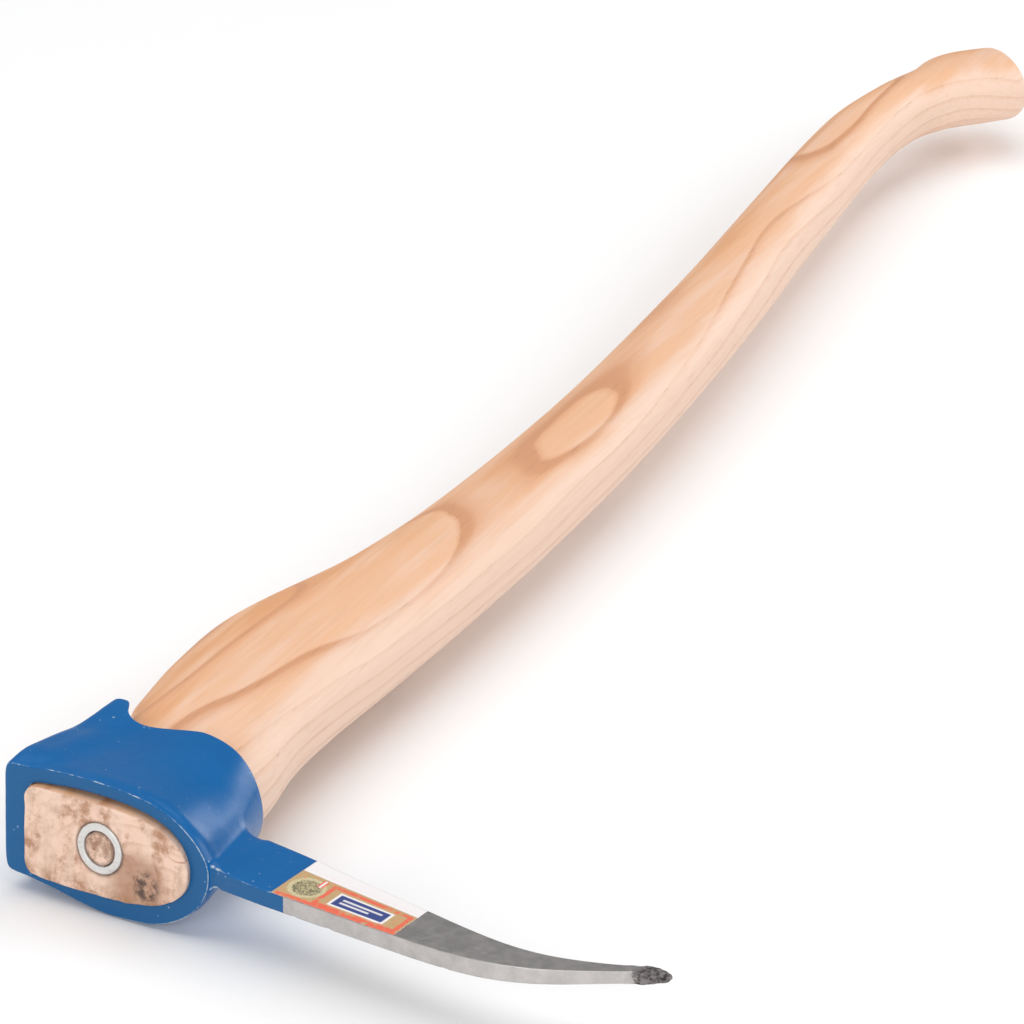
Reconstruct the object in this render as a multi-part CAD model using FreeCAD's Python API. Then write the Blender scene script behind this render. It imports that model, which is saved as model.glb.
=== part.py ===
import FreeCAD, Part
import math
import os

# A sappie, the long-handled pick used to turn and drag logs: a forged steel
# head with one curved pick, a curved ash handle held in the head's eye by a
# round steel ring wedge, and a paper label on the pick.
#
# The tool lies on its cheek. +X points from the poll to the pick's tip, +Y
# runs along the handle to the knob, +Z is up. The origin is the middle of
# the flat poll face. All sizes are in millimetres.

# ---------------------------------------------------------- driving dimensions

# Eye, and the tenon that fills it, from the eye's centre in X
EYE_HALF = 19.0             # half the eye's width in Z
EYE_BACK = 34.5             # eye centre to the eye's flat end, at the front
EYE_NOSE = 38.3             # eye centre to the eye's narrow end, at the front
EYE_LEAN = 10.5             # how far the eye leans back over EYE_LENGTH
EYE_BACK_LOSS = 3.5         # the flat end is this much closer at the rear
EYE_NOSE_LOSS = 2.8         # the narrow end is this much closer at the rear
EYE_LEAD_IN = 0.8           # broken inner edge of the front rim
TENON_PROUD = 2.5           # tenon standing out of the front rim
TENON_EDGE = 1.0            # broken edge of the tenon's end

# Walls round the eye
POLL_WALL = 10.5            # flat end of the eye to the poll face
NOSE_WALL = 8.7             # narrow end of the eye to the outside of the nose
CHEEK_WALL = 6.2            # each cheek at the front rim
CHEEK_REAR_WALL = 4.4       # each cheek at the rear edge
POLL_CORNER_WALL = 3.7      # each cheek where it meets the poll

# Head, measured from the eye's centre in X and from the front rim in Y
EYE_TO_POLL = EYE_BACK + POLL_WALL
NOSE_REACH = EYE_NOSE + NOSE_WALL
CHEEK_HALF = EYE_HALF + CHEEK_WALL
CHEEK_REAR_HALF = EYE_HALF + CHEEK_REAR_WALL
POLL_HALF = EYE_HALF + POLL_CORNER_WALL
POLL_CENTRE_DEPTH = 32.0    # front rim to the middle of the poll face
HEAD_DEPTH = 57.0           # front rim to the lowest place of the rear edge
LUG_HEIGHT = 10.0           # tongue on the poll side, above HEAD_DEPTH
CREST_HEIGHT = 6.5          # crest over the cheek, above HEAD_DEPTH
LUG_WIDTH = 7.5             # tongue's width in X
NOSE_LEAN = 19.5            # how far the nose leans back over the eye's length
CHEEK_WAIST = 1.8           # how much each cheek narrows at mid depth
POLL_CORNER = 2.5           # broken corner between the poll and each cheek
EYE_REST = 3.0              # the eye's straight run goes on this far past the tongue
EYE_LENGTH = HEAD_DEPTH + LUG_HEIGHT + EYE_REST

# Ring wedge
RING_OUTER = 10.0           # outer radius at the visible end
RING_WALL = 3.1             # wall at the visible end
RING_INNER = RING_OUTER - RING_WALL
RING_LENGTH = 24.0          # driven length
RING_TAPER = 2.2            # loss of outer radius at the driven end
RING_PROUD = 0.4            # visible end above the tenon's end

# Pick, measured like the head
PICK_TIP = 231.5            # eye centre to the tip
PICK_ROOT_DEPTH = 35.0      # pick's depth where it leaves the nose
PICK_FRONT_HALF = 3.3       # half the thickness of the outer edge
PICK_BACK_HALF = 5.0        # half the thickness of the inner edge

# Label on the pick's upper side
LABEL_START = 77.0          # eye centre to the label's near end
LABEL_LENGTH = 57.0
LABEL_THICK = 0.2

# Handle, from the eye's rear end to the knob
HANDLE_LENGTH = 784.0       # reach in Y from the eye's rear end to the knob's end
SHOULDER_STEP = 1.0         # the handle is this much thinner than the eye, each side
HANDLE_HALF = EYE_HALF - SHOULDER_STEP
KNOB_ROUND = 7.0            # rounding of the knob's end

SECTION_POINTS = 40         # points on one closed section of the handle

# ------------------------------------------------------------------ helpers


def place(x, y, z=0.0):
    """A point given from the eye's centre and the front rim."""
    return FreeCAD.Vector(x + EYE_TO_POLL, y - POLL_CENTRE_DEPTH, z)


def power(value, exponent):
    """A signed power, the building block of a superellipse."""
    return math.copysign(abs(value) ** exponent, value)


def oval(centre, direction, back, nose, half, square_back, square_nose):
    """A closed section: two half superellipses that meet at the centre.

    The section is square to direction, an angle in the XY plane from +Y
    towards +X. back and nose are its half depths, half its half thickness,
    and the last two values say how square each end is.
    """
    lean = math.radians(direction)
    points = []
    for step in range(SECTION_POINTS):
        turn = 2.0 * math.pi * step / SECTION_POINTS
        cosine = math.cos(turn)
        ahead = cosine > 0.0
        exponent = 2.0 / (square_nose if ahead else square_back)
        depth = power(cosine, exponent) * (nose if ahead else back)
        rise = power(math.sin(turn), exponent) * half
        points.append(place(centre[0] + depth * math.cos(lean),
                            centre[1] - depth * math.sin(lean), rise))
    curve = Part.BSplineCurve()
    curve.interpolate(Points=points, PeriodicFlag=True)
    middle = curve.parameter(points[SECTION_POINTS // 2])
    upper = curve.toShape(curve.FirstParameter, middle)
    lower = curve.toShape(middle, curve.LastParameter)
    return Part.Wire([upper, lower])


def eye_section(depth, grow=0.0):
    """The eye's outline at one depth behind the front rim."""
    share = depth / EYE_LENGTH
    centre = (-EYE_LEAN * share, depth)
    back = EYE_BACK - EYE_BACK_LOSS * share
    nose = EYE_NOSE - EYE_NOSE_LOSS * share
    return oval(centre, 0.0, back + grow, nose + grow, EYE_HALF + grow, 6.0, 2.35)


def smooth(points):
    """A smooth edge through a few points."""
    curve = Part.BSplineCurve()
    curve.interpolate(Points=points)
    return curve.toShape()


def skin(sections, ruled):
    """The outward faces of a loft, without its two flat ends."""
    loft = Part.makeLoft(sections, True, ruled)
    return [face for face in loft.Faces if not isinstance(face.Surface, Part.Plane)]


def ends(sections):
    """The flat faces that close a run of sections, both facing outward."""
    loft = Part.makeLoft([sections[0], sections[-1]], True, True)
    flats = [face for face in loft.Faces if isinstance(face.Surface, Part.Plane)]
    return flats


def sewn(faces):
    """One solid from faces that meet edge to edge."""
    shell = Part.Shell(faces)
    shell.sewShape()
    return Part.Solid(shell)


# --------------------------------------------------------------------- head


def head_section(share):
    """The head's outer outline; share is 0 at the front rim and 1 at the rear.

    It runs a little past the poll, where a flat cut then makes the poll face.
    """
    depth = share * EYE_LENGTH
    waist = CHEEK_WAIST * math.sin(math.pi * share) ** 2
    cheek = CHEEK_HALF - (CHEEK_HALF - CHEEK_REAR_HALF) * share - waist
    corner = POLL_HALF - waist
    nose = NOSE_REACH - NOSE_LEAN * share ** 1.3
    shoulder = nose - 20.0
    spare = 2.0
    past = place(-EYE_TO_POLL - spare, depth, corner - POLL_CORNER - spare)
    poll_top, poll_end = past, FreeCAD.Vector(past.x, past.y, -past.z)
    side_top = [place(POLL_CORNER - EYE_TO_POLL, depth, corner), place(-24.0, depth, cheek - 0.9),
                place(-2.0, depth, cheek), place(shoulder, depth, cheek - 1.8)]
    nose_arc = [side_top[-1], place(nose - 9.0, depth, cheek - 8.0),
                place(nose - 2.2, depth, 9.5), place(nose, depth, 0.0)]
    top = side_top[:3] + nose_arc
    bottom = [FreeCAD.Vector(p.x, p.y, -p.z) for p in reversed(top)]
    around = smooth(top + bottom[1:])
    corner_top = Part.makeLine(poll_top, top[0])
    corner_low = Part.makeLine(bottom[-1], poll_end)
    return Part.Wire([Part.makeLine(poll_end, poll_top), corner_top, around, corner_low])


def rear_trim():
    """The flat poll and the wavy rear edge: a tongue at the poll, a dip and a crest."""
    crest = HEAD_DEPTH + CREST_HEIGHT
    lug = HEAD_DEPTH + LUG_HEIGHT
    inner = -EYE_TO_POLL + LUG_WIDTH
    wave = smooth([place(inner - 4.0, lug), place(inner, lug - 2.0),
                   place(inner + 2.5, HEAD_DEPTH + 3.5), place(inner + 8.0, HEAD_DEPTH - 0.4),
                   place(-21.0, HEAD_DEPTH - 2.0), place(-9.0, HEAD_DEPTH + 0.5),
                   place(0.0, crest - 1.0), place(9.0, crest), place(19.0, HEAD_DEPTH + 2.0),
                   place(60.0, HEAD_DEPTH - 6.0)])
    start = place(-EYE_TO_POLL, lug)
    low_start = place(-EYE_TO_POLL, -5.0)
    low_end = place(60.0, -5.0)
    outline = Part.Wire([Part.makeLine(start, place(inner - 4.0, lug)), wave,
                         Part.makeLine(place(60.0, HEAD_DEPTH - 6.0), low_end),
                         Part.makeLine(low_end, low_start), Part.makeLine(low_start, start)])
    plate = Part.Face(outline)
    plate.translate(FreeCAD.Vector(0, 0, -60.0))
    return plate.extrude(FreeCAD.Vector(0, 0, 120.0))


# Stations along the pick: x, outer edge, inner edge, and the half thickness
# of both edges as shares of PICK_FRONT_HALF and PICK_BACK_HALF.
PICK_STATIONS = [
    (34.0, 3.0, 37.0, 3.6, 2.0),
    (44.0, 1.0, 34.2, 2.7, 1.5),
    (54.0, -0.6, 31.4, 1.25, 1.08),
    (66.0, -2.2, 28.2, 1.0, 1.0),
    (84.0, -3.8, 24.2, 1.0, 0.99),
    (105.0, -5.6, 19.8, 1.0, 0.97),
    (125.0, -7.2, 15.8, 1.0, 0.94),
    (145.0, -8.6, 11.8, 1.0, 0.91),
    (160.0, -8.9, 9.0, 1.0, 0.87),
    (174.0, -7.4, 7.9, 1.0, 0.80),
    (188.0, -3.2, 9.2, 0.95, 0.70),
    (200.0, 3.6, 13.4, 0.86, 0.60),
    (211.0, 11.8, 18.4, 0.74, 0.52),
    (219.0, 17.2, 22.6, 0.68, 0.50),
]
PICK_DRAWN_TIP = 231.5      # PICK_TIP that the stations were drawn for
PICK_DRAWN_DEPTH = 35.0     # PICK_ROOT_DEPTH that the stations were drawn for


def pick_reach(x):
    """Stations beyond the root follow the tip when PICK_TIP changes."""
    root = 66.0
    stretch = (PICK_TIP - root) / (PICK_DRAWN_TIP - root)
    return x if x <= root else root + (x - root) * stretch


def pick_depth(y):
    """The pick's depth follows PICK_ROOT_DEPTH, away from the front rim."""
    return y * PICK_ROOT_DEPTH / PICK_DRAWN_DEPTH if y > 0.0 else y


def pick_section(x, front, back, front_half, back_half):
    """A four-sided section, thin at the outer edge and thicker at the inner."""
    corners = [place(x, front, -front_half), place(x, back, -back_half),
               place(x, back, back_half), place(x, front, front_half)]
    return Part.makePolygon(corners + [corners[0]])


def pick_blade():
    """The curved blade, and its faceted point."""
    sections = [pick_section(pick_reach(x), pick_depth(front), pick_depth(back),
                             a * PICK_FRONT_HALF, b * PICK_BACK_HALF)
                for x, front, back, a, b in PICK_STATIONS]
    blade = Part.makeLoft(sections, True, False)
    tip = pick_section(PICK_TIP, pick_depth(24.6), pick_depth(25.8), 0.7, 0.6)
    point = Part.makeLoft([sections[-1], tip], True, True)
    return blade.fuse(point)


def head():
    """The forged head, with the eye bored through it."""
    shares = (0.0, 0.18, 0.42, 0.66, 0.86, 1.0)
    shell = Part.makeLoft([head_section(share) for share in shares], True, False)
    body = shell.common(rear_trim())
    body = body.fuse(pick_blade()).removeSplitter()
    mouth, throat = eye_section(-EYE_LEAD_IN, 2.0 * EYE_LEAD_IN), eye_section(EYE_LEAD_IN)
    rear = eye_section(EYE_LENGTH)
    bore = sewn(skin([mouth, throat], True) + skin([throat, rear], True) + ends([mouth, rear]))
    return body.cut(bore).Solids[0]


# ------------------------------------------------------- handle and ring wedge


# Stations of the handle: x, y from the eye's rear end, direction of the
# handle there, back and belly half depths, half thickness as a share of
# HANDLE_HALF, and how square the back and the belly are.
HANDLE_STATIONS = [
    (-20.5, 26.0, -16.0, 33.0, 35.5, 1.07, 3.2, 2.4),
    (-31.5, 66.0, -13.0, 36.5, 37.5, 1.03, 2.8, 2.4),
    (-38.0, 112.0, -8.0, 38.0, 36.5, 0.99, 2.7, 2.4),
    (-45.5, 182.0, -7.0, 27.8, 31.0, 0.92, 2.6, 2.4),
    (-56.0, 262.0, -10.0, 25.0, 24.6, 0.87, 2.5, 2.4),
    (-79.0, 372.0, -14.0, 20.8, 20.8, 0.82, 2.5, 2.4),
    (-108.0, 482.0, -16.0, 18.6, 18.1, 0.79, 2.4, 2.3),
    (-141.0, 592.0, -17.5, 16.4, 15.6, 0.77, 2.3, 2.3),
    (-168.0, 682.0, -13.0, 14.0, 15.2, 0.75, 2.2, 2.2),
    (-174.0, 724.0, -1.0, 11.8, 15.0, 0.72, 2.2, 2.2),
    (-171.0, 746.0, 15.0, 14.0, 16.5, 0.73, 2.2, 2.2),
    (-164.5, 764.0, 30.0, 21.5, 20.0, 0.76, 2.2, 2.2),
    (-157.0, 777.0, 36.0, 22.5, 21.0, 0.75, 2.2, 2.2),
]
STATION_REACH = 784.0       # HANDLE_LENGTH that the stations were drawn for


def handle_sections():
    """The handle outside the head, from the shoulder to the knob."""
    stretch = HANDLE_LENGTH / STATION_REACH
    sections = [eye_section(EYE_LENGTH)]
    for x, y, lean, back, belly, half, square_back, square_belly in HANDLE_STATIONS:
        centre = (x, EYE_LENGTH + y * stretch)
        sections.append(oval(centre, lean, back, belly, half * HANDLE_HALF,
                             square_back, square_belly))
    return sections


def knob_dome():
    """Sections that round the knob's end over KNOB_ROUND."""
    x, y, lean, back, belly, half, square_back, square_belly = HANDLE_STATIONS[-1]
    tilt = math.radians(lean)
    sections = []
    for angle in (0.0, 22.0, 44.0, 64.0, 80.0):
        turn = math.radians(angle)
        rise = KNOB_ROUND * math.sin(turn)
        loss = KNOB_ROUND * (1.0 - math.cos(turn))
        centre = (x + rise * math.sin(tilt), EYE_LENGTH + y * HANDLE_LENGTH / STATION_REACH
                  + rise * math.cos(tilt))
        sections.append(oval(centre, lean, back - loss, belly - loss,
                             half * HANDLE_HALF - loss, square_back, square_belly))
    return sections


def ring_solid():
    """The tapered ring, its visible end just above the tenon's end."""
    outline = [place(RING_INNER, 0.0), place(RING_OUTER - 0.5, 0.0), place(RING_OUTER, 0.5),
               place(RING_OUTER - RING_TAPER, RING_LENGTH), place(RING_INNER, RING_LENGTH)]
    face = Part.Face(Part.makePolygon(outline + [outline[0]]))
    ring = face.revolve(place(0.0, 0.0), FreeCAD.Vector(0, 1, 0), 360.0)
    ring.translate(FreeCAD.Vector(0, -TENON_PROUD - RING_PROUD, 0))
    return ring


def handle():
    """The handle and its tenon, with the slot that the ring wedge cuts."""
    tip = eye_section(-TENON_PROUD, -TENON_EDGE)
    front = eye_section(-TENON_PROUD + TENON_EDGE)
    rear = eye_section(EYE_LENGTH)
    dome = knob_dome()
    faces = skin([tip, front], True) + skin([front, rear], True)
    faces += skin(handle_sections(), False) + skin(dome, False) + ends([tip, dome[-1]])
    return sewn(faces).cut(ring_solid()).Solids[0]


# -------------------------------------------------------------------- label


def label():
    """The paper label, lying on the pick's upper side face."""
    blade = pick_blade()
    raised = blade.copy()
    raised.translate(FreeCAD.Vector(0, 0, LABEL_THICK))
    sheet = raised.cut(blade)
    near, far = pick_reach(LABEL_START), pick_reach(LABEL_START) + LABEL_LENGTH
    window = Part.makeBox(far - near, 80.0, 20.0, place(near, -40.0, 0.5))
    return sheet.common(window)


def main():
    os.makedirs("parts", exist_ok=True)
    nodes = {"head": head(), "handle": handle(), "ring_wedge": ring_solid(), "label": label()}
    for name, shape in nodes.items():
        print(name, shape.isValid(), len(shape.Solids), round(shape.Volume))
        shape.exportStep("parts/" + name + ".step")


main()
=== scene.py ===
"""A long-handled timber pick: forged blue head, ash handle, ring wedge and label.

Places are given from the eye's centre and the head's front rim, in millimetres,
with +X towards the pick's tip, +Y towards the knob and +Z up.
"""

import logging
import math
from dataclasses import dataclass
from enum import Enum
from typing import Callable, Iterable, Sequence

import bmesh
import bpy
from mathutils import Matrix, Vector, noise
from mathutils.bvhtree import BVHTree

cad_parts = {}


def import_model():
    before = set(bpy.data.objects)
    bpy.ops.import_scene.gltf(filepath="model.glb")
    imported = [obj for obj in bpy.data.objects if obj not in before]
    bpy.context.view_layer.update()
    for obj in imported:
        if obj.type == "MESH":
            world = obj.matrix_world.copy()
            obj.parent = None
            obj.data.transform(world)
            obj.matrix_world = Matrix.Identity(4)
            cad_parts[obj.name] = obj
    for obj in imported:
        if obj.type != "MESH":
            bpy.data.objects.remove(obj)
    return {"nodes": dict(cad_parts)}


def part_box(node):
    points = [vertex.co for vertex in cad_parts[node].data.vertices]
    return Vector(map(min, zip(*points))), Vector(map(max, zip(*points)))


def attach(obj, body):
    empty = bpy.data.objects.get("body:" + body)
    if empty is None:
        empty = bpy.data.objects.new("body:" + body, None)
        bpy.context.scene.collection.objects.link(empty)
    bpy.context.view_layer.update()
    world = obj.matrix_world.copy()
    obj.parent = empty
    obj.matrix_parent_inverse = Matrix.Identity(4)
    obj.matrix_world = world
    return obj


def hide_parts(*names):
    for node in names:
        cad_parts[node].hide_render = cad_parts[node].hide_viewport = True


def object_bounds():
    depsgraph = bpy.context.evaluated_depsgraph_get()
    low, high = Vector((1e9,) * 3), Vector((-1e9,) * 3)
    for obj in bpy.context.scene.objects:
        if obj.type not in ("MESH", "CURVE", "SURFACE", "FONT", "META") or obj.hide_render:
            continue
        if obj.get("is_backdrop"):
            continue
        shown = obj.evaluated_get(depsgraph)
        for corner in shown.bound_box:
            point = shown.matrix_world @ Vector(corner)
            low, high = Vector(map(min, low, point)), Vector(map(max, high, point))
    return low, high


log = logging.getLogger("timber_pick")

MM = 0.001
RING_OUTER, RING_INNER, RING_DEPTH = 10.0, 6.9, 24.0
RING_PROUD = 2.9
FLOOR_GAP = 0.0004
CORNER_GAIN = 5.0
WEAR_GAIN = 5.0
Colour = tuple[float, float, float]
Place = tuple[float, float, float]
Socket = bpy.types.NodeSocket


# ------------------------------------------------------------------- measures


class Detail(Enum):
    """How many times a cage is rounded."""

    FINE = 3
    PLAIN = 1


@dataclass(frozen=True)
class Datum:
    """Where the head's own measures start, in metres."""

    eye_x: float
    rim_y: float

    def at(self, x: float, y: float, z: float = 0.0) -> Vector:
        """A point given in millimetres from the eye's centre and the front rim."""
        return Vector((self.eye_x + x * MM, self.rim_y + y * MM, z * MM))

    def local(self, point: Vector) -> Vector:
        """The reverse of at: millimetres from the eye's centre and the front rim."""
        return Vector(((point.x - self.eye_x) / MM, (point.y - self.rim_y) / MM, point.z / MM))


def find_datum(proud: float) -> Datum:
    """Reads the datum from the frame.

    Args:
        proud: how far the ring wedge stands out of the front rim, in millimetres.

    Returns:
        The datum: the ring's axis in X and the front rim in Y.
    """
    low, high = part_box("ring_wedge")
    return Datum(eye_x=(low[0] + high[0]) / 2.0, rim_y=low[1] + proud * MM)


def blend(low: float, high: float, value: float) -> float:
    """A smooth step from 0 at low to 1 at high."""
    share = min(1.0, max(0.0, (value - low) / (high - low)))
    return share * share * (3.0 - 2.0 * share)


def along(stations: Sequence[Sequence[float]], reach: float) -> list[float]:
    """Reads a table of stations at any reach, on a smooth curve through them.

    Args:
        stations: rows whose first value is the reach, in rising order.
        reach: where to read.

    Returns:
        The row's values at that reach, the reach itself first.
    """
    last = len(stations) - 1
    index = 0
    while index < last - 1 and reach > stations[index + 1][0]:
        index += 1
    start, end = stations[index], stations[index + 1]
    before, after = stations[max(0, index - 1)], stations[min(last, index + 2)]
    span = end[0] - start[0]
    share = (reach - start[0]) / span
    values = [reach]
    for k in range(1, len(start)):
        rise = (end[k] - before[k]) / (end[0] - before[0]) * span
        fall = (after[k] - start[k]) / (after[0] - start[0]) * span
        a, b = share * share, share * share * share
        values.append((2 * b - 3 * a + 1) * start[k] + (b - 2 * a + share) * rise
                      + (3 * a - 2 * b) * end[k] + (b - a) * fall)
    return values


# ----------------------------------------------------------------- mesh tools


def new_ring(bm: bmesh.types.BMesh, places: Sequence[Vector]) -> list[bmesh.types.BMVert]:
    """A closed loop of vertices, one for each place.

    Args:
        bm: the mesh that gets the loop.
        places: where its vertices stand, in order.

    Returns:
        The loop's vertices, in the same order.
    """
    made = bmesh.ops.create_circle(bm, segments=len(places), radius=1.0)
    for vertex, place in zip(made["verts"], places):
        vertex.co = place
    return list(made["verts"])


def ring_edges(ring: Sequence[bmesh.types.BMVert]) -> list[bmesh.types.BMEdge]:
    """The edges that join a loop's vertices in turn."""
    pairs = zip(ring, list(ring[1:]) + [ring[0]])
    wanted = [{a, b} for a, b in pairs]
    return [next(e for e in a.link_edges if set(e.verts) == pair)
            for a, pair in zip(ring, wanted)]


def grow(bm: bmesh.types.BMesh, ring: Sequence[bmesh.types.BMVert],
         places: Sequence[Vector]) -> list[bmesh.types.BMVert]:
    """Extrudes a loop to new places.

    Args:
        bm: the mesh that holds the loop.
        ring: the loop's vertices, in order.
        places: where the new loop's vertices stand, in the same order.

    Returns:
        The new loop's vertices, in the same order.
    """
    made = bmesh.ops.extrude_edge_only(bm, edges=ring_edges(ring))
    fresh = {item for item in made["geom"] if isinstance(item, bmesh.types.BMVert)}
    grown = [next(e.other_vert(vertex) for e in vertex.link_edges
                  if e.other_vert(vertex) in fresh) for vertex in ring]
    for twin, place in zip(grown, places):
        twin.co = place
    return grown


def turned(datum: Datum, profile: Sequence[tuple[float, float]],
           steps: int) -> bmesh.types.BMesh:
    """Turns a closed profile about the eye's axis.

    Args:
        datum: where the axis stands.
        profile: radius and depth of each corner, in millimetres.
        steps: how many faces go round.

    Returns:
        The turned solid.
    """
    bm = bmesh.new()
    new_ring(bm, [datum.at(x, y) for x, y in profile])
    bmesh.ops.spin(bm, geom=bm.edges[:], cent=datum.at(0, 0), axis=(0, 1, 0),
                   angle=2.0 * math.pi, steps=steps, use_merge=True)
    return bm


def as_object(bm: bmesh.types.BMesh, name: str) -> bpy.types.Object:
    """Turns a finished bmesh into a smooth object in the scene.

    Args:
        bm: the mesh, which is freed.
        name: the object's name.

    Returns:
        The object, at the origin.
    """
    mesh = bpy.data.meshes.new(name)
    bm.to_mesh(mesh)
    bm.free()
    for face in mesh.polygons:
        face.use_smooth = True
    piece = bpy.data.objects.new(name, mesh)
    bpy.context.scene.collection.objects.link(piece)
    return piece


def bake_modifiers(piece: bpy.types.Object) -> None:
    """Replaces a piece's mesh by the one its modifiers make."""
    graph = bpy.context.evaluated_depsgraph_get()
    mesh = bpy.data.meshes.new_from_object(piece.evaluated_get(graph))
    piece.modifiers.clear()
    piece.data = mesh
    for face in mesh.polygons:
        face.use_smooth = True


def subdivide(piece: bpy.types.Object, detail: Detail) -> None:
    """Rounds a cage by Catmull-Clark subdivision and keeps the result."""
    modifier = piece.modifiers.new("rounding", "SUBSURF")
    modifier.levels = detail.value
    modifier.render_levels = detail.value
    bake_modifiers(piece)


def carve(piece: bpy.types.Object, cutter: bpy.types.Object) -> None:
    """Takes the cutter's solid out of a piece and removes the cutter."""
    modifier = piece.modifiers.new("carve", "BOOLEAN")
    modifier.operation = "DIFFERENCE"
    modifier.solver = "EXACT"
    modifier.object = cutter
    bake_modifiers(piece)
    bpy.data.objects.remove(cutter)


def creased(bm: bmesh.types.BMesh, edges: Iterable[bmesh.types.BMEdge], weight: float) -> None:
    """Marks edges that subdivision should keep sharp, on a cage that has a crease layer."""
    layer = bm.edges.layers.float["crease_edge"]
    for edge in edges:
        edge[layer] = weight


def roughen(piece: bpy.types.Object, shift: Callable[[Vector, Vector], Vector]) -> None:
    """Moves each vertex by a small amount.

    Args:
        piece: the object to change.
        shift: gives a vertex's move from its place and its normal.
    """
    bm = bmesh.new()
    bm.from_mesh(piece.data)
    bm.normal_update()
    moves = [shift(vertex.co, vertex.normal) for vertex in bm.verts]
    for vertex, move in zip(bm.verts, moves):
        vertex.co += move
    bm.to_mesh(piece.data)
    bm.free()


def mark_wear(piece: bpy.types.Object, name: str, reach: int = 2) -> None:
    """Writes a vertex attribute that is 1 on outer corners and 0 on flat ground.

    Args:
        piece: the object that gets the attribute.
        name: the attribute's name.
        reach: how many times the mask spreads to its neighbours.
    """
    bm = bmesh.new()
    bm.from_mesh(piece.data)
    bm.normal_update()
    bm.verts.ensure_lookup_table()
    values = []
    for vertex in bm.verts:
        angles = [e.calc_face_angle_signed(0.0) for e in vertex.link_edges if e.is_manifold]
        values.append(min(1.0, max(0.0, max(angles, default=0.0) * CORNER_GAIN)))
    for _ in range(reach):
        values = [0.5 * values[v.index] + 0.5 * sum(values[e.other_vert(v).index]
                  for e in v.link_edges) / len(v.link_edges) for v in bm.verts]
    bm.free()
    layer = piece.data.attributes.new(name, "FLOAT", "POINT")
    layer.data.foreach_set("value", values)


# ------------------------------------------------------------- material tools


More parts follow.
